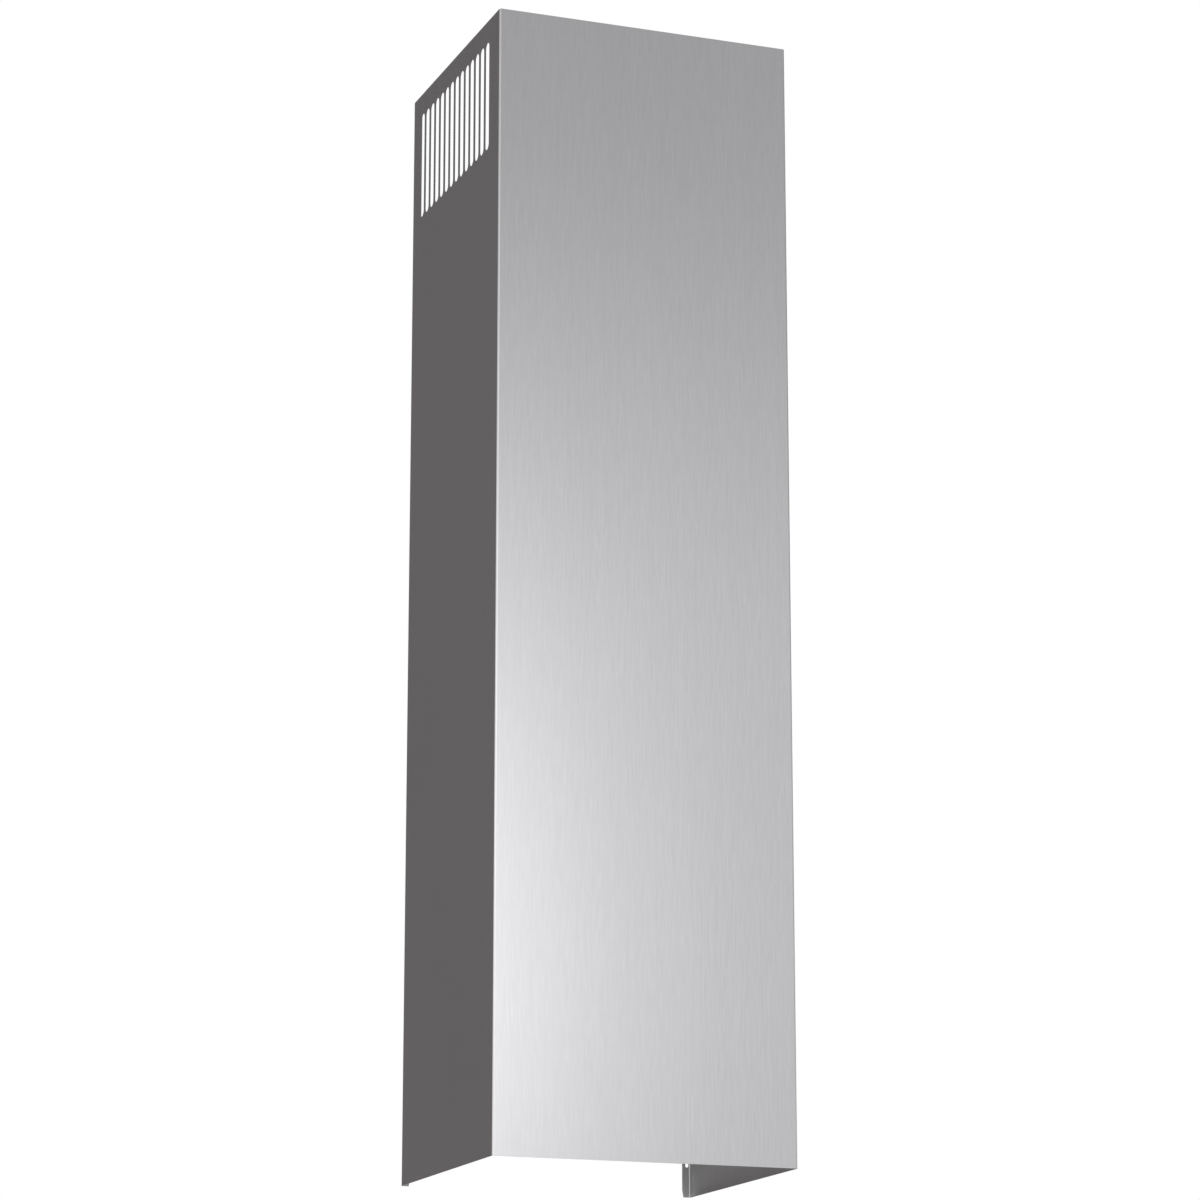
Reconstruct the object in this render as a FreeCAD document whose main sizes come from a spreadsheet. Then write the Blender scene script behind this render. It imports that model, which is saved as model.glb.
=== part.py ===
import FreeCAD, Part
import math
import os

import Sketcher

# Chimney section of a cooker hood: one stainless sheet folded into a tall U with two narrow rear
# flanges. The front faces -Y, the wall side +Y, and the section stands on its bottom edge at Z = 0.

# Driving dimensions in millimetres: alias, value and what it measures
DIMENSIONS = [
    ("section_height", 1000, "bottom edge to top edge"),
    ("outer_width", 270, "across the front, outside to outside"),
    ("outer_depth", 242, "front face to the wall side of the flanges"),
    ("sheet_thickness", 0.6, "stainless sheet"),
    ("bend_radius", 1.2, "inside radius of every fold"),
    ("flange_width", 8, "side face to the free edge of a rear flange"),
    ("flange_taper_width", 1.2, "how far the free edge draws back at each end of a flange"),
    ("flange_taper_height", 6, "length of that drawn-back stretch"),
    ("vent_slot_width", 10, "clear width of a vent slot"),
    ("vent_slot_length", 100, "end to end of a vent slot"),
    ("vent_bar_width", 4, "sheet left between two vent slots"),
    ("vent_top_margin", 20, "top edge to the upper ends of the vent slots"),
    ("vent_front_margin", 28, "front face to the first vent slot"),
    ("vent_rear_clearance", 20, "least strip kept between the last vent slot and the wall side"),
    ("hook_slot_width", 3.2, "clear width of a hook slot"),
    ("hook_slot_length", 20, "end to end of a hook slot"),
    ("hook_slot_margin", 26.5, "end of the sheet to the near end of a hook slot"),
    ("hook_slot_land", 0.2, "flat strip between the fold and a hook slot"),
]

# Sizes that follow from the driving dimensions, as expressions on the sheet
FOLD_RADIUS = "(sizes.sheet_thickness + sizes.bend_radius)"
VENT_PITCH = "(sizes.vent_slot_width + sizes.vent_bar_width)"
VENT_ROOM = "(sizes.outer_depth - sizes.vent_front_margin - sizes.vent_rear_clearance)"
VENT_COUNT = f"floor(({VENT_ROOM} + sizes.vent_bar_width) / {VENT_PITCH})"
HOOK_SPACING = "(sizes.section_height - 2 * sizes.hook_slot_margin - sizes.hook_slot_length)"

# How a sketch counts the points of a line or an arc, and its own axes and origin
START, END, CENTRE = range(1, 4)
HORIZONTAL_AXIS, VERTICAL_AXIS = range(-1, -3, -1)
ORIGIN = (HORIZONTAL_AXIS, START)

UP = FreeCAD.Vector(0, 0, 1)
ANGLE_TOLERANCE = 1e-6

doc = FreeCAD.newDocument("chimney_section")


def fill_sheet():
    """Writes the driving dimensions to the document's sheet, one row each."""
    sheet = doc.addObject("Spreadsheet::Sheet", "sizes")
    for row, (alias, value, meaning) in enumerate(DIMENSIONS, start=1):
        sheet.set(f"A{row}", meaning)
        sheet.set(f"B{row}", str(value))
        sheet.setAlias(f"B{row}", alias)
    doc.recompute()


def base_of(body, role):
    """Finds one of the body's own base planes or axes."""
    return next(part for part in body.Origin.OriginFeatures if part.Role == role)


def new_sketch(body, name, plane):
    """Starts a sketch on one of the body's base planes."""
    sketch = body.newObject("Sketcher::SketchObject", name)
    sketch.AttachmentSupport = (base_of(body, plane), "")
    sketch.MapMode = "FlatFace"
    return sketch


def constrain(sketch, kind, *places):
    """Adds a constraint that carries no size."""
    sketch.addConstraint(Sketcher.Constraint(kind, *places))


def set_size(sketch, name, kind, places, expression):
    """Adds a named dimension to a sketch and ties it to the sheet."""
    placeholder = 1.0
    measured = sketch.addConstraint(Sketcher.Constraint(kind, *places, placeholder))
    sketch.renameConstraint(measured, name)
    sketch.setExpression("Constraints." + name, expression)


def draw_closed(sketch, points):
    """Draws straight lines through the points and back to the first one."""
    corners = [FreeCAD.Vector(x, y, 0) for x, y in points]
    for here, there in zip(corners, corners[1:] + corners[:1]):
        sketch.addGeometry(Part.LineSegment(here, there))
    for line in range(len(corners)):
        following = (line + 1) % len(corners)
        constrain(sketch, "Coincident", line, END, following, START)


def draw_slot(sketch, across, lower_end, width, length):
    """Draws a rough upright slot with round ends, then sizes and places it by four expressions."""
    low = FreeCAD.Vector(0, 0, 0)
    high = FreeCAD.Vector(0, 10, 0)
    side = FreeCAD.Vector(1, 0, 0)
    top = sketch.addGeometry(Part.ArcOfCircle(Part.Circle(high, UP, side.Length), 0, math.pi))
    left = sketch.addGeometry(Part.LineSegment(high - side, low - side))
    bottom = sketch.addGeometry(Part.ArcOfCircle(Part.Circle(low, UP, side.Length), math.pi, 2 * math.pi))
    right = sketch.addGeometry(Part.LineSegment(low + side, high + side))
    for one, other in ((top, left), (left, bottom), (bottom, right), (right, top)):
        constrain(sketch, "Tangent", one, END, other, START)
    constrain(sketch, "Equal", top, bottom)
    constrain(sketch, "Vertical", left)
    set_size(sketch, "slot_width", "Diameter", (top,), width)
    set_size(sketch, "between_ends", "DistanceY", (bottom, CENTRE, top, CENTRE), f"{length} - {width}")
    set_size(sketch, "across", "DistanceX", (*ORIGIN, bottom, CENTRE), across)
    set_size(sketch, "above_base", "DistanceY", (*ORIGIN, bottom, CENTRE), f"{lower_end} + {width} / 2")


def add_feature(body, kind, name, **expressions):
    """Adds a feature to the body with its sizes tied to the sheet."""
    feature = body.newObject("PartDesign::" + kind, name)
    for size, expression in expressions.items():
        feature.setExpression(size, expression)
    return feature


def cut_through(body, sketch, name, sides):
    """Cuts a sketch right through the sheet and makes sure that it took material away."""
    before = body.Shape.Volume
    pocket = add_feature(body, "Pocket", name)
    pocket.Profile = sketch
    pocket.Type = "ThroughAll"
    pocket.SideType = sides
    doc.recompute()
    if not pocket.Shape.Volume < before:
        raise RuntimeError(f"{name} cut nothing")
    return pocket


def fold_shell(body):
    """Makes the closed shell: a block rounded along its folds and hollowed to the sheet."""
    outline = new_sketch(body, "outline", "XY_Plane")
    draw_closed(outline, [(-1, -1), (1, -1), (1, 1), (-1, 1)])
    front, right, rear, left = range(4)
    for line in (front, rear):
        constrain(outline, "Horizontal", line)
    for line in (right, left):
        constrain(outline, "Vertical", line)
    constrain(outline, "Symmetric", front, START, rear, START, *ORIGIN)
    set_size(outline, "width", "DistanceX", (front, START, front, END), "sizes.outer_width")
    set_size(outline, "depth", "DistanceY", (right, START, right, END), "sizes.outer_depth")

    block = add_feature(body, "Pad", "block", Length="sizes.section_height")
    block.Profile = outline
    doc.recompute()

    upright = [
        f"Edge{number}"
        for number, edge in enumerate(block.Shape.Edges, start=1)
        if edge.tangentAt(edge.FirstParameter).isParallel(UP, ANGLE_TOLERANCE)
    ]
    folds = add_feature(body, "Fillet", "folds", Radius=FOLD_RADIUS)
    folds.Base = (block, upright)
    doc.recompute()

    ends = [
        f"Face{number}"
        for number, face in enumerate(folds.Shape.Faces, start=1)
        if face.normalAt(0, 0).isParallel(UP, ANGLE_TOLERANCE)
    ]
    shell = add_feature(body, "Thickness", "shell", Value="sizes.sheet_thickness")
    shell.Base = (folds, ends)
    shell.Reversed = True
    doc.recompute()


def open_rear(body):
    """Opens the wall side and leaves a narrow flange, drawn back at its ends, along each side."""
    opening = new_sketch(body, "opening", "XZ_Plane")
    draw_closed(opening, [(-3, 0), (3, 0), (2, 1), (2, 9), (3, 10), (-3, 10), (-2, 9), (-2, 1)])
    foot, right, head, left = range(0, 8, 2)
    foot_corner = (foot, END)
    head_corner = (head, START)
    low_bend = (right, START)
    high_bend = (right, END)
    constrain(opening, "Symmetric", foot, START, *foot_corner, VERTICAL_AXIS)
    constrain(opening, "Symmetric", head, END, *head_corner, VERTICAL_AXIS)
    constrain(opening, "Symmetric", left, END, *low_bend, VERTICAL_AXIS)
    constrain(opening, "Symmetric", left, START, *high_bend, VERTICAL_AXIS)
    constrain(opening, "PointOnObject", *foot_corner, HORIZONTAL_AXIS)
    constrain(opening, "Vertical", right)
    set_size(opening, "full_height", "DistanceY", (*foot_corner, *head_corner), "sizes.section_height")
    set_size(opening, "between_flanges", "DistanceX", (left, END, *low_bend),
             "sizes.outer_width - 2 * sizes.flange_width")
    taper_width = "sizes.flange_taper_width"
    taper_height = "sizes.flange_taper_height"
    set_size(opening, "low_taper_width", "DistanceX", (*low_bend, *foot_corner), taper_width)
    set_size(opening, "low_taper_height", "DistanceY", (*foot_corner, *low_bend), taper_height)
    set_size(opening, "high_taper_width", "DistanceX", (*high_bend, *head_corner), taper_width)
    set_size(opening, "high_taper_height", "DistanceY", (*high_bend, *head_corner), taper_height)
    cut_through(body, opening, "rear_opening", "One side")


def cut_hook_slots(body):
    """Cuts the slots that wall hooks enter: one at each end of each flange, close to the fold."""
    slot = new_sketch(body, "hook_slot", "XZ_Plane")
    from_side = f"({FOLD_RADIUS} + sizes.hook_slot_land + sizes.hook_slot_width / 2)"
    draw_slot(slot, f"sizes.outer_width / 2 - {from_side}", "sizes.hook_slot_margin",
              "sizes.hook_slot_width", "sizes.hook_slot_length")
    lower_right = cut_through(body, slot, "lower_right_hook_slot", "One side")

    flange_ends = ("bottom", "top")
    hook_slots = add_feature(body, "MultiTransform", "hook_slots")
    hook_slots.Originals = [lower_right]
    to_top = add_feature(body, "LinearPattern", "to_top", Length=HOOK_SPACING)
    to_top.Direction = (base_of(body, "Z_Axis"), [""])
    to_top.Occurrences = len(flange_ends)
    to_left = add_feature(body, "Mirrored", "to_left")
    to_left.MirrorPlane = (base_of(body, "YZ_Plane"), [""])
    hook_slots.Transformations = [to_top, to_left]
    body.Tip = hook_slots
    doc.recompute()


def cut_vents(body):
    """Cuts the rows of upright vent slots near the top, through both sides at once."""
    slot = new_sketch(body, "vent_slot", "YZ_Plane")
    draw_slot(slot, "sizes.vent_front_margin + sizes.vent_slot_width / 2 - sizes.outer_depth / 2",
              "sizes.section_height - sizes.vent_top_margin - sizes.vent_slot_length",
              "sizes.vent_slot_width", "sizes.vent_slot_length")
    first_pair = cut_through(body, slot, "first_vent_slots", "Symmetric")

    vents = add_feature(body, "LinearPattern", "vents",
                        Length=f"({VENT_COUNT} - 1) * {VENT_PITCH}", Occurrences=VENT_COUNT)
    vents.Originals = [first_pair]
    vents.Direction = (base_of(body, "Y_Axis"), [""])
    body.Tip = vents
    doc.recompute()


def check_document(body):
    """Stops unless every object is sound and the section is one whole sheet."""
    for part in doc.Objects:
        if "Invalid" in part.State or "Error" in part.State:
            raise RuntimeError(f"{part.Name} failed: {part.State}")
    shape = body.Shape
    if shape.isNull() or not shape.isValid() or len(shape.Solids) != 1:
        raise RuntimeError("the section is not one valid solid")


fill_sheet()
chimney_cover = doc.addObject("PartDesign::Body", "chimney_cover")
chimney_cover.Label = "chimney_cover"
chimney_cover.Placement = FreeCAD.Placement()
fold_shell(chimney_cover)
open_rear(chimney_cover)
cut_hook_slots(chimney_cover)
cut_vents(chimney_cover)
check_document(chimney_cover)

os.makedirs("parts", exist_ok=True)
finished = chimney_cover.Shape
finished.exportStep(f"parts/{chimney_cover.Label}.step")
print(f"{chimney_cover.Label}: {finished.Volume:.1f} mm3 of sheet, {len(finished.Faces)} faces")
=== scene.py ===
import bmesh
import bpy
import math
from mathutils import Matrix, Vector, noise


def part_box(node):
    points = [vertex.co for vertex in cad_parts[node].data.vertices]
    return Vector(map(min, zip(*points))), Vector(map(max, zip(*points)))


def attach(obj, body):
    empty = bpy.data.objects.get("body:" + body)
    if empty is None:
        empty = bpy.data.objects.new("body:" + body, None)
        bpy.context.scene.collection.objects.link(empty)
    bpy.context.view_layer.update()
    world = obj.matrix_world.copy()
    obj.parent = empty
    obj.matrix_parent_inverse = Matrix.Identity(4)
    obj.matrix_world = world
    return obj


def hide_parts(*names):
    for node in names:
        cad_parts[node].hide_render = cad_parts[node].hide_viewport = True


# Chimney section of a cooker hood: one brushed sheet, folded along four lines, in metres.

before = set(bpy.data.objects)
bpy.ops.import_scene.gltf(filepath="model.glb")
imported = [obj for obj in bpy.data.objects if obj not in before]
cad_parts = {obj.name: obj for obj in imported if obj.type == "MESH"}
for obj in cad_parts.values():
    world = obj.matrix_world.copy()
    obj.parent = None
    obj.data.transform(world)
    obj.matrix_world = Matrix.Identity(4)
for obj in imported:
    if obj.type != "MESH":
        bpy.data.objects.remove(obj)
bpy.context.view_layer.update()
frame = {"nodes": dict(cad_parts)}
print("frame loaded:", ", ".join(frame["nodes"]))


# a socket of a node tree: operators on it add Math nodes, add() makes any other node
class Wire:
    def __init__(self, tree, socket=None):
        self.tree = tree
        self.socket = socket

    def add(self, kind, settings=None, sockets=None, out=0):
        node = self.tree.nodes.new("ShaderNode" + kind)
        for name, value in (settings or {}).items():
            setattr(node, name, value)
        for place, value in (sockets or {}).items():
            if isinstance(value, Wire):
                self.tree.links.new(value.socket, node.inputs[place])
            else:
                node.inputs[place].default_value = value
        return Wire(self.tree, node.outputs[out] if node.outputs else None)

    def maths(self, operation, *values):
        return self.add("Math", {"operation": operation}, dict(enumerate(values)))

    def __add__(self, other):
        return self.maths("ADD", self, other)

    def __radd__(self, other):
        return self.maths("ADD", other, self)

    def __sub__(self, other):
        return self.maths("SUBTRACT", self, other)

    def __rsub__(self, other):
        return self.maths("SUBTRACT", other, self)

    def __mul__(self, other):
        return self.maths("MULTIPLY", self, other)

    def __rmul__(self, other):
        return self.maths("MULTIPLY", other, self)

    def __truediv__(self, other):
        return self.maths("DIVIDE", self, other)

    def __rtruediv__(self, other):
        return self.maths("DIVIDE", other, self)

    def __pow__(self, other):
        return self.maths("POWER", self, other)

    def __rpow__(self, other):
        return self.maths("POWER", other, self)

    def __abs__(self):
        return self.maths("ABSOLUTE", self)

    def atLeast(self, other):
        return self.maths("MAXIMUM", self, other)

    def below(self, other):
        return self.maths("LESS_THAN", self, other)

    # 0 below low, 1 above high, smooth between
    def rise(self, low, high):
        return self.add("MapRange", {"interpolation_type": "SMOOTHSTEP"},
                        {"Value": self, "From Min": low, "From Max": high})

    # a Mix node's colours are its sockets 6 and 7, and their blend is its output 2
    def blendColour(self, dark, light):
        return self.add("Mix", {"data_type": "RGBA"}, {0: self, 6: dark, 7: light}, out=2)

    def outputs(self, *names):
        return [Wire(self.tree, self.socket.node.outputs[name]) for name in names]

    # the shaded point in its object's own frame
    def point(self):
        return self.add("TexCoord", out="Object")

    def pointXY(self):
        return self.add("SeparateXYZ", None, {0: self.point()}).outputs("X", "Y")


def newMaterial(name):
    material = bpy.data.materials.new(name)
    material.use_nodes = True
    material.node_tree.nodes.clear()
    return material, Wire(material.node_tree)


# the folded sheet
chimney = dict(
    node="chimney_cover",
    slot="brushed_sheet",
    thickness=0.0006,
    foldRadius=0.0018,         # outside of each fold
    foldSteps=8,
    flangeWidth=0.008,         # from the side's outer face
    flangeTaper=0.0012,        # how far the free edge draws back at its ends
    flangeTaperHeight=0.006,
    ventWidth=0.010,
    ventLength=0.100,
    ventBar=0.004,
    ventTopMargin=0.020,
    ventFrontMargin=0.028,
    ventCount=14,
    hookWidth=0.0032,
    hookLength=0.020,
    hookMargin=0.0265,
    hookLand=0.0002,           # between fold and hook slot
    arcSteps=4,                # facets in each eighth of a turn round a slot's end
    rowHeight=0.045,
    rowDigits=6,               # rows that agree to a micron are one row
    frontColumns=18,
    plainColumns=2,            # in the strips beside the slots
    edgeBreak=0.0001,          # rounding of the cut edges
    edgeSegments=2,
    edgeAngle=math.radians(60),
    bow=0.0002,                # how far the wide faces sag inwards from flat
    bowScale=(7, 5),           # of the sag's noise, across and up
    bowSeed=3,                 # each face takes a layer of that noise near this one
)

lowCorner, highCorner = (Vector(corner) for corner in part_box(chimney["node"]))
width, depth, height = highCorner - lowCorner
middle = (lowCorner + highCorner) / 2
base = lowCorner.z
halfSheet = chimney["thickness"] / 2
foldRadius = chimney["foldRadius"]
ventPitch = chimney["ventWidth"] + chimney["ventBar"]
hookPlace = foldRadius + chimney["hookLand"] + chimney["hookWidth"] / 2
hookCell = chimney["hookWidth"] / 2 + chimney["hookLand"]
lipStart = hookPlace + hookCell


# rolled sheet is never quite flat, but the folds and ends hold it straight
def bowOf(sign, across, span, up):
    held = math.sin(math.pi * across / span) * math.sin(math.pi * up / height)
    acrossScale, upScale = chimney["bowScale"]
    slack = noise.noise(Vector((across * acrossScale, up * upScale, chimney["bowSeed"] + sign)))
    return chimney["bow"] * held * (slack - 1)


# middle surface of the sheet: side -1 is left, 1 is right, and place runs along that part
def sheetPoint(side, part, place, up):
    if part == "flange":
        end = min(up, height - up)
        drawnBack = chimney["flangeTaper"] * max(0, 1 - end / chimney["flangeTaperHeight"])
        lip = max(0, place - lipStart)
        lip *= 1 - drawnBack / (chimney["flangeWidth"] - lipStart)
        across = width / 2 - min(place, lipStart) - lip
        back = depth / 2 - halfSheet
    elif part == "side":
        across = width / 2 - halfSheet + bowOf(side, place, depth, up)
        back = place - depth / 2
    elif part == "front":
        across = place
        back = halfSheet - depth / 2 - bowOf(0, place + width / 2, width, up)
    else:
        turn = place * math.pi / 2
        reach = foldRadius - halfSheet
        across = width / 2 - foldRadius + reach * math.cos(turn)
        back = depth / 2 - foldRadius + reach * math.sin(turn)
        if part == "frontFold":
            back = -back
    return Vector((middle.x + across * side, middle.y + back, base + up))


def spread(start, end, count):
    return [start + (end - start) * step / count for step in range(count + 1)]


def nearest(values, wanted):
    return min(range(len(values)), key=lambda number: abs(values[number] - wanted))


# grid lines round a slot, which meet its round ends at even angles
def cellLines(cell):
    angles = spread(0, math.pi / 4, chimney["arcSteps"])
    reach = [cell * math.tan(angle) for angle in angles]
    return [-far for far in reversed(reach)] + reach[1:]


def sheetColumns():
    plain = chimney["plainColumns"]
    vents = chimney["ventFrontMargin"] - chimney["ventBar"] / 2
    ventPlaces = [vents + ventPitch * (number + 0.5) for number in range(chimney["ventCount"])]
    ventsEnd = vents + ventPitch * chimney["ventCount"]
    sidePlaces = spread(foldRadius, vents, plain)
    for ventPlace in ventPlaces:
        sidePlaces += [ventPlace + line for line in cellLines(ventPitch / 2)][1:]
    sidePlaces += spread(ventsEnd, depth - foldRadius, plain)[1:]
    flangePlaces = [hookPlace + line for line in cellLines(hookCell)]
    flangePlaces += spread(lipStart, chimney["flangeWidth"], plain)[1:]
    foldPlaces = spread(0, 1, chimney["foldSteps"])[1:-1]
    half = [("flange", place) for place in reversed(flangePlaces)]
    half += [("rearFold", place) for place in reversed(foldPlaces)]
    half += [("side", place) for place in reversed(sidePlaces)]
    half += [("frontFold", place) for place in foldPlaces]
    frontEnd = width / 2 - foldRadius
    frontPlaces = spread(-frontEnd, frontEnd, chimney["frontColumns"])
    columns = [(-1, part, place) for part, place in half]
    columns += [(1, "front", place) for place in frontPlaces]
    columns += [(1, part, place) for part, place in reversed(half)]
    return columns, ventPlaces


# each slot: side, part, middle, half width, half cell, and the heights of its two end centres
def sheetSlots(ventPlaces):
    ventRadius = chimney["ventWidth"] / 2
    ventTop = height - chimney["ventTopMargin"]
    ventEnds = (ventTop - chimney["ventLength"] + ventRadius, ventTop - ventRadius)
    hookRadius = chimney["hookWidth"] / 2
    lowHook = (chimney["hookMargin"] + hookRadius,
               chimney["hookMargin"] + chimney["hookLength"] - hookRadius)
    highHook = (height - lowHook[1], height - lowHook[0])
    slots = []
    for side in (-1, 1):
        for place in ventPlaces:
            slots.append((side, "side", place, ventRadius, ventPitch / 2, ventEnds))
        for hookEnds in (lowHook, highHook):
            slots.append((side, "flange", hookPlace, hookRadius, hookCell, hookEnds))
    return slots


def sheetRows(slots):
    taper = chimney["flangeTaperHeight"]
    digits = chimney["rowDigits"]
    fixed = {0, taper, height - taper, height}
    for side, part, place, radius, cell, ends in slots:
        lines = cellLines(cell)
        fixed |= {round(ends[0] + line, digits) for line in lines if line <= 0}
        fixed |= {round(ends[1] + line, digits) for line in lines if line >= 0}
    fixed = sorted(fixed)
    rows = []
    for low, high in zip(fixed, fixed[1:]):
        rows += spread(low, high, max(1, round((high - low) / chimney["rowHeight"])))[:-1]
    return rows + [height]


# the flat grid, folded, with a ring of faces from each slot's cell to its rim
def foldGrid(columns, rows, slots):
    mesh = bmesh.new()
    corners = {}

    def corner(column, row):
        if (column, row) not in corners:
            corners[column, row] = mesh.verts.new(sheetPoint(*columns[column], rows[row]))
        return corners[column, row]

    pierced = set()
    for side, part, place, radius, cell, ends in slots:
        mine = [number for number, column in enumerate(columns) if column[:2] == (side, part)]
        places = [columns[number][2] for number in mine]
        first, last = sorted(mine[nearest(places, edge)] for edge in (place - cell, place + cell))
        foot = nearest(rows, ends[0] - cell)
        head = nearest(rows, ends[1] + cell)
        pierced |= {(column, row) for column in range(first, last) for row in range(foot, head)}
        loop = [(column, foot) for column in range(first, last)]
        loop += [(last, row) for row in range(foot, head)]
        loop += [(column, head) for column in range(last, first, -1)]
        loop += [(first, row) for row in range(head, foot, -1)]
        rim = []
        for column, row in loop:
            aside = columns[column][2] - place
            spine = min(max(rows[row], ends[0]), ends[1])
            reach = radius / math.hypot(aside, rows[row] - spine)
            up = spine + (rows[row] - spine) * reach
            rim.append(mesh.verts.new(sheetPoint(side, part, place + aside * reach, up)))
        outer = [corner(*spot) for spot in loop]
        for number in range(len(loop)):
            after = (number + 1) % len(loop)
            mesh.faces.new((outer[number], outer[after], rim[after], rim[number]))
    for column in range(len(columns) - 1):
        for row in range(len(rows) - 1):
            if (column, row) not in pierced:
                mesh.faces.new((corner(column, row), corner(column + 1, row),
                                corner(column + 1, row + 1), corner(column, row + 1)))
    mesh.normal_update()
    return mesh


def buildSheet():
    columns, ventPlaces = sheetColumns()
    slots = sheetSlots(ventPlaces)
    rows = sheetRows(slots)
    mesh = foldGrid(columns, rows, slots)
    data = bpy.data.meshes.new("chimneyCover")
    mesh.to_mesh(data)
    mesh.free()
    data.shade_smooth()
    cover = bpy.data.objects.new("chimneyCover", data)
    bpy.context.scene.collection.objects.link(cover)
    for name, finish in steel["finishes"].items():
        data.materials.append(steelFinish(name, finish))
    solid = cover.modifiers.new("thickness", "SOLIDIFY")
    solid.thickness = chimney["thickness"]
    solid.offset = 0
    solid.use_even_offset = True
    solid.material_offset = 1          # the inner skin takes the second finish
    solid.material_offset_rim = 2      # the cut edges take the third
    edges = cover.modifiers.new("edgeBreak", "BEVEL")
    edges.width = chimney["edgeBreak"]
    edges.segments = chimney["edgeSegments"]
    edges.limit_method = "ANGLE"
    edges.angle_limit = chimney["edgeAngle"]
    edges.harden_normals = True
    cover.modifiers.new("flatFaces", "WEIGHTED_NORMAL").keep_sharp = True
    print("sheet folded:", len(columns), "columns,", len(rows), "rows,", len(slots), "slots")
    return cover


# finishes of the sheet: a layer of grain has its counts per metre across and along, its octaves of
# detail and its share of the tone, and some have a swing of the roughness or a height in the relief
brushPasses = dict(counts=(110, 2.5), detail=2)
handlingMarks = dict(counts=(6, 2.5), detail=4)
steel = dict(
    octaveGain=0.6,            # strength of each finer octave
    grainMean=0.5,
    reliefHeight=0.000002,
    reliefStrength=0.5,
    finishes=dict(             # outer skin, inner skin, cut edges
        brushedSteel=dict(
            dark=(0.506, 0.498, 0.503, 1),
            light=(0.557, 0.548, 0.553, 1),
            burnishedAndHighlight=(0.70, 0.69, 0.695, 1),   # the press rubs the folds bright, and their lighter colour is also a painted highlight
            contrast=(0.25, 0.75),              # grain that gives the dark and the light tone
            roughness=0.21,
            anisotropy=0.45,
            turn=0,
            layers=[
                # single brush lines, then bundles that can be seen from a step away
                dict(counts=(2600, 60), detail=2, share=0.35, swing=0.05, relief=1),
                dict(counts=(560, 45), detail=2, share=0.4, relief=0.5),
                dict(brushPasses, share=0.12),
                dict(handlingMarks, share=0.13, swing=0.04),
            ],
        ),
        shadedMillSteel=dict(
            # darker than the brushed skin: partly its duller mill finish, partly painted shade inside
            # the section
            dark=(0.395, 0.392, 0.39, 1),
            light=(0.475, 0.471, 0.468, 1),
            # much lighter inner folds: a painted highlight on the fold line, with some burnish
            burnishedAndHighlight=(0.86, 0.855, 0.85, 1),
            contrast=(0.25, 0.75),
            roughness=0.43,
            anisotropy=0.8,
            turn=0.25,         # its highlights stretch at right angles to the brushed skin's
            layers=[
                # specks of the rolled surface
                dict(counts=(900, 500), detail=2, share=0.4, swing=0.08, relief=1),
                dict(brushPasses, share=0.3),
                dict(handlingMarks, share=0.3, swing=0.1),
            ],
        ),
        shadedCutSteel=dict(
            # far darker than the sheet: partly the rough torn edge, partly painted shade in the slots
            dark=(0.10, 0.098, 0.095, 1),
            light=(0.19, 0.186, 0.18, 1),
            contrast=(0.3, 0.7),
            roughness=0.5,
            anisotropy=0,
            turn=0,
            layers=[
                # torn specks of the punched edge
                dict(counts=(1800, 1800), detail=3, share=1, swing=0.15, relief=1),
            ],
        ),
    ),
)


def grainNoise(tools, layer):
    across, along = layer["counts"]
    stretched = tools.add("VectorMath", {"operation": "MULTIPLY"},
                          {0: tools.point(), 1: (across, across, along)})
    return tools.add("TexNoise", None, {"Vector": stretched, "Scale": 1, "Detail": layer["detail"],
                                        "Roughness": steel["octaveGain"]})


# 1 on the four folds, 0 on the flat parts
def onFolds(tools):
    x, y = tools.pointXY()
    aside = abs(x - middle.x).rise(width / 2 - foldRadius, width / 2 - foldRadius / 2)
    ahead = abs(y - middle.y).rise(depth / 2 - foldRadius, depth / 2 - foldRadius / 2)
    return aside * ahead


def steelFinish(name, finish):
    material, tools = newMaterial(name)
    tone = 0
    relief = 0
    roughness = finish["roughness"]
    for layer in finish["layers"]:
        grain = grainNoise(tools, layer)
        tone = tone + layer["share"] * grain
        if "swing" in layer:
            roughness = roughness + layer["swing"] * (grain - steel["grainMean"])
        if "relief" in layer:
            relief = relief + layer["relief"] * grain
    colour = tone.rise(*finish["contrast"]).blendColour(finish["dark"], finish["light"])
    # folds blended to a lighter colour: burnish from the press and a painted highlight
    if "burnishedAndHighlight" in finish:
        colour = onFolds(tools).blendColour(colour, finish["burnishedAndHighlight"])
    bump = tools.add("Bump", None, {"Strength": steel["reliefStrength"],
                                    "Distance": steel["reliefHeight"], "Height": relief})
    shader = tools.add("BsdfPrincipled", None, {
        "Base Color": colour,
        "Metallic": 1,
        "Roughness": roughness,
        "Anisotropic": finish["anisotropy"],
        "Anisotropic Rotation": finish["turn"],
        "Normal": bump,
    })
    tools.add("OutputMaterial", None, {"Surface": shader})
    print("finish mixed:", name)
    return material


cover = buildSheet()
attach(cover, "root")
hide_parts(chimney["node"])


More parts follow.
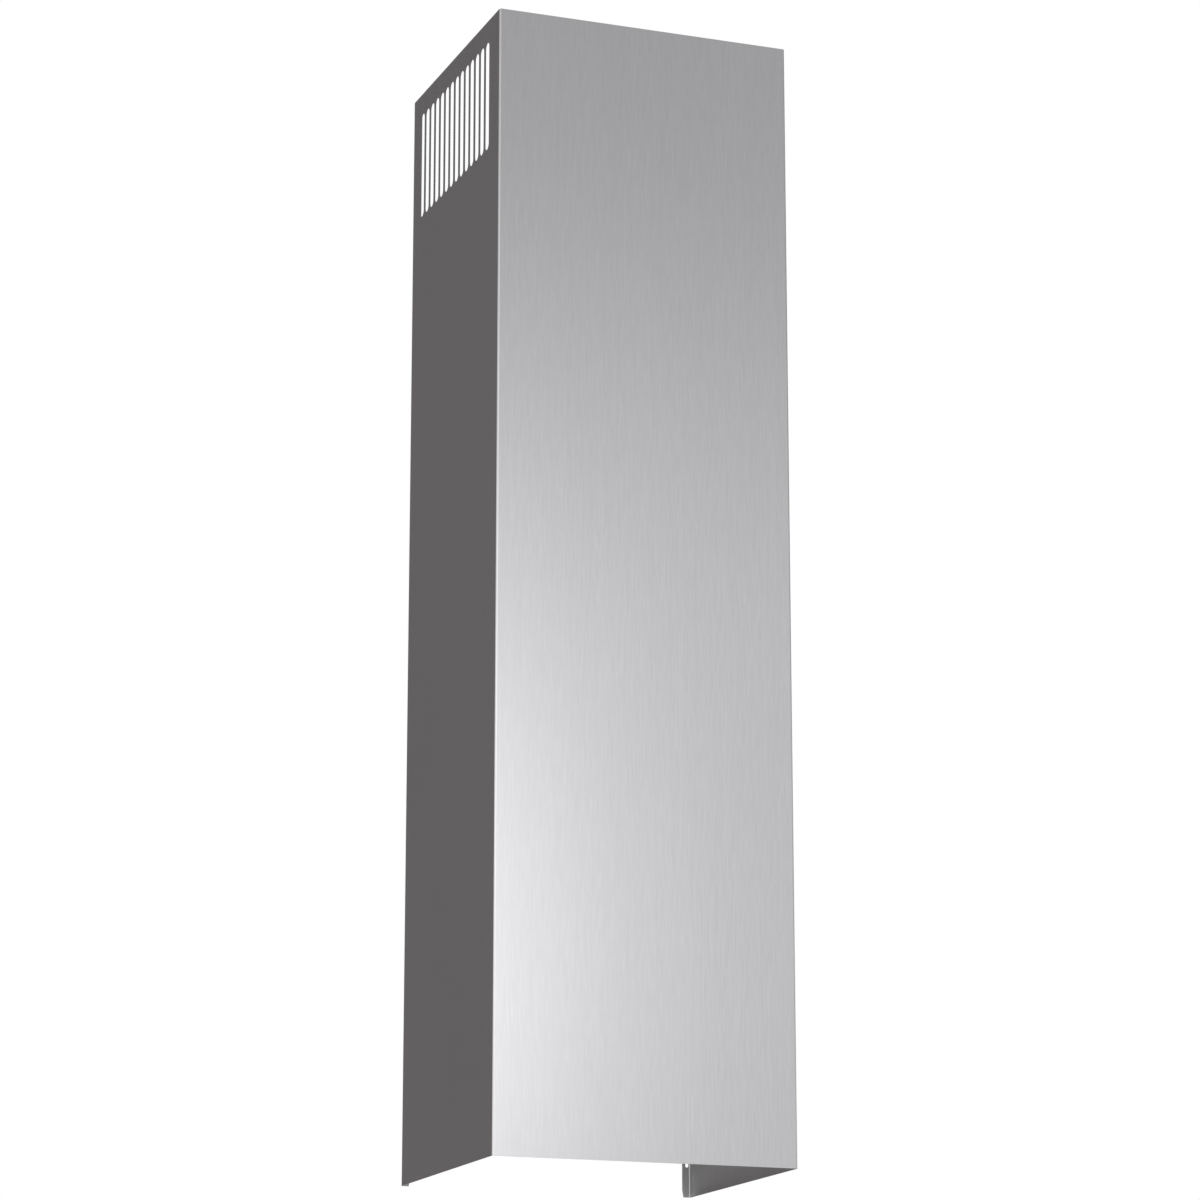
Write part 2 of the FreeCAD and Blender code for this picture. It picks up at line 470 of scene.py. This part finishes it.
# studio: boards hang round the set where only the metal mirrors them; the grey of each goes from foot
# to head over the heights in change, and its patches fade to about a third at their reach
studio = dict(
    plainWhite=(1, 1, 1, 1),
    white=1.0,                 # what the camera and the metal see round the set
    fill=0.7,                  # how strongly that white lights the floor
    floorSize=(8, 8),
    floorColour=(0.84, 0.84, 0.84, 1),
    floorFade=(1.2, 3.2),      # the floor thins out to the white between these radii
    lamp=dict(place=(-1.6, -2.4, 3.2), size=1.6, watts=45),
    boards=dict(
        rearBoard=dict(place=(-1.3, 2.6, 1.0), size=(3.8, 4.2), turn=18, tint=(1.03, 0.975, 0.986),
                       foot=0.178, head=0.178, change=(0, 1),
                       patches=[dict(place=(-1.7, 0.9), reach=(0.7, 1.6), glow=0.45),
                                dict(place=(1.7, 0.9), reach=(0.6, 1.6), glow=0.40)]),
        leftBoard=dict(place=(-3.0, -0.6, 1.3), size=(5.0, 4.2), turn=-80, tint=(1, 1, 1),
                       foot=0.97, head=0.66, change=(-0.4, 2.0),
                       patches=[dict(place=(1.4, 1.0), reach=(1.0, 0.45), glow=0.8)]),
        rightBoard=dict(place=(2.6, 0.9, 1.2), size=(4.8, 4.4), turn=90, tint=(1, 1, 1),
                        foot=0.76, head=0.42, change=(-0.4, 2.0),
                        patches=[dict(place=(-1.9, 0.9), reach=(0.6, 1.4), glow=-0.35)]),
        frontBoard=dict(place=(0.3, -1.4, 0.9), size=(3.6, 3.0), turn=0, tint=(1, 1.012, 1.027),
                        foot=0.90, head=0.62, change=(0.76, 1.60),
                        patches=[dict(place=(-0.10, 0.36), reach=(0.20, 0.52), glow=1.10),
                                 dict(place=(-0.72, 0.40), reach=(0.38, 0.50), glow=0.80),
                                 dict(place=(-1.2, 0.9), reach=(0.45, 0.65), glow=0.45),
                                 dict(place=(1.35, 0.6), reach=(0.45, 1.2), glow=-0.4),
                                 # under the floor, where only the inner skin mirrors it
                                 dict(place=(-0.9, -0.35), reach=(0.45, 0.15), glow=7)]),
    ),
)


def addPlane(name, place, size, turn=(0, 0, 0)):
    data = bpy.data.meshes.new(name)
    halfWide, halfLong = size[0] / 2, size[1] / 2
    data.from_pydata([(-halfWide, -halfLong, 0), (halfWide, -halfLong, 0), (halfWide, halfLong, 0),
                      (-halfWide, halfLong, 0)], [], [(0, 1, 2, 3)])
    plane = bpy.data.objects.new(name, data)
    plane.location = place
    plane.rotation_euler = turn
    bpy.context.scene.collection.objects.link(plane)
    return plane


def hideFrom(thing, *rays):
    for ray in rays:
        setattr(thing, "visible_" + ray, False)


# dull paint, in which no board shows; it is gone far out, seen from below, and inside the section for
# what the metal mirrors, so that the inner skin mirrors the light under the floor
def paleFloor():
    material, tools = newMaterial("paleFloor")
    radius = tools.add("VectorMath", {"operation": "LENGTH"}, {0: tools.point()}, out="Value")
    thin = radius.rise(*studio["floorFade"])
    under = tools.add("NewGeometry", out="Backfacing")
    x, y = tools.pointXY()
    inSection = abs(x - middle.x).below(width / 2) * abs(y - middle.y).below(depth / 2)
    mirrored = tools.add("LightPath", out="Is Glossy Ray")
    gone = thin.atLeast(under).atLeast(inSection * mirrored)
    paint = tools.add("BsdfDiffuse", None, {"Color": studio["floorColour"]})
    clear = tools.add("BsdfTransparent")
    surface = tools.add("MixShader", None, {0: gone, 1: paint, 2: clear})
    tools.add("OutputMaterial", None, {"Surface": surface})
    return material


# grey that changes with height, with soft patches that are brighter or dimmer
def boardGlow(tools, board):
    across, up = tools.pointXY()
    up = up + board["place"][2]
    glow = board["foot"] + (board["head"] - board["foot"]) * up.rise(*board["change"])
    for patch in board["patches"]:
        aside = (across - patch["place"][0]) / patch["reach"][0]
        above = (up - patch["place"][1]) / patch["reach"][1]
        glow = glow + patch["glow"] / math.e ** (aside * aside + above * above)
    return tools.add("VectorMath", {"operation": "SCALE"}, {0: board["tint"], "Scale": glow})


def addBoard(name, board):
    material, tools = newMaterial(name)
    glow = tools.add("Emission", None, {"Color": boardGlow(tools, board), "Strength": 1})
    tools.add("OutputMaterial", None, {"Surface": glow})
    upright = (math.pi / 2, 0, math.radians(board["turn"]))
    plane = addPlane(name, board["place"], board["size"], upright)
    plane.data.materials.append(material)
    hideFrom(plane, "camera", "diffuse", "shadow", "transmission")


def whiteAllRound():
    world = bpy.data.worlds.new("studioWhite")
    world.use_nodes = True
    world.node_tree.nodes.clear()
    tools = Wire(world.node_tree)
    byCamera, byGloss, byGlass = tools.add("LightPath").outputs(
        "Is Camera Ray", "Is Glossy Ray", "Is Transmission Ray")
    seen = byCamera.atLeast(byGloss).atLeast(byGlass)
    colour = studio["plainWhite"]
    fill = tools.add("Background", None, {"Color": colour, "Strength": studio["fill"]})
    white = tools.add("Background", None, {"Color": colour, "Strength": studio["white"]})
    surface = tools.add("MixShader", None, {0: seen, 1: fill, 2: white})
    tools.add("OutputWorld", None, {"Surface": surface})
    return world


# the lamp gives the floor its shadow, and the metal doesn't mirror it
def addLamp(lamp):
    light = bpy.data.lights.new("lamp", "AREA")
    light.energy = lamp["watts"]
    light.size = lamp["size"]
    softbox = bpy.data.objects.new("lamp", light)
    softbox.location = lamp["place"]
    aim = middle - Vector(lamp["place"])
    softbox.rotation_euler = aim.to_track_quat("-Z", "Y").to_euler()
    hideFrom(softbox, "camera", "glossy")
    bpy.context.scene.collection.objects.link(softbox)


def buildStudio():
    bpy.context.scene.world = whiteAllRound()
    floor = addPlane("floor", (0, 0, base), studio["floorSize"])
    floor.data.materials.append(paleFloor())
    for name, board in studio["boards"].items():
        addBoard(name, board)
    addLamp(studio["lamp"])
    print("studio set up")


# where the photograph was taken from
photo = dict(
    place=(-1.2122, -3.2452, -0.3860),
    yaw=math.radians(20.54),
    pitch=math.radians(14.46),
    focalPixels=4056.9,
    framePixels=1200,
)


def placeCamera():
    scene = bpy.context.scene
    data = bpy.data.cameras.new("photoCamera")
    data.lens = photo["focalPixels"] / photo["framePixels"] * data.sensor_width
    camera = bpy.data.objects.new("photoCamera", data)
    camera.location = photo["place"]
    camera.rotation_euler = (math.pi / 2 + photo["pitch"], 0, -photo["yaw"])
    scene.collection.objects.link(camera)
    scene.camera = camera
    scene.view_settings.view_transform = "Standard"
    print("camera placed, lens", round(data.lens, 1), "mm")


buildStudio()
placeCamera()
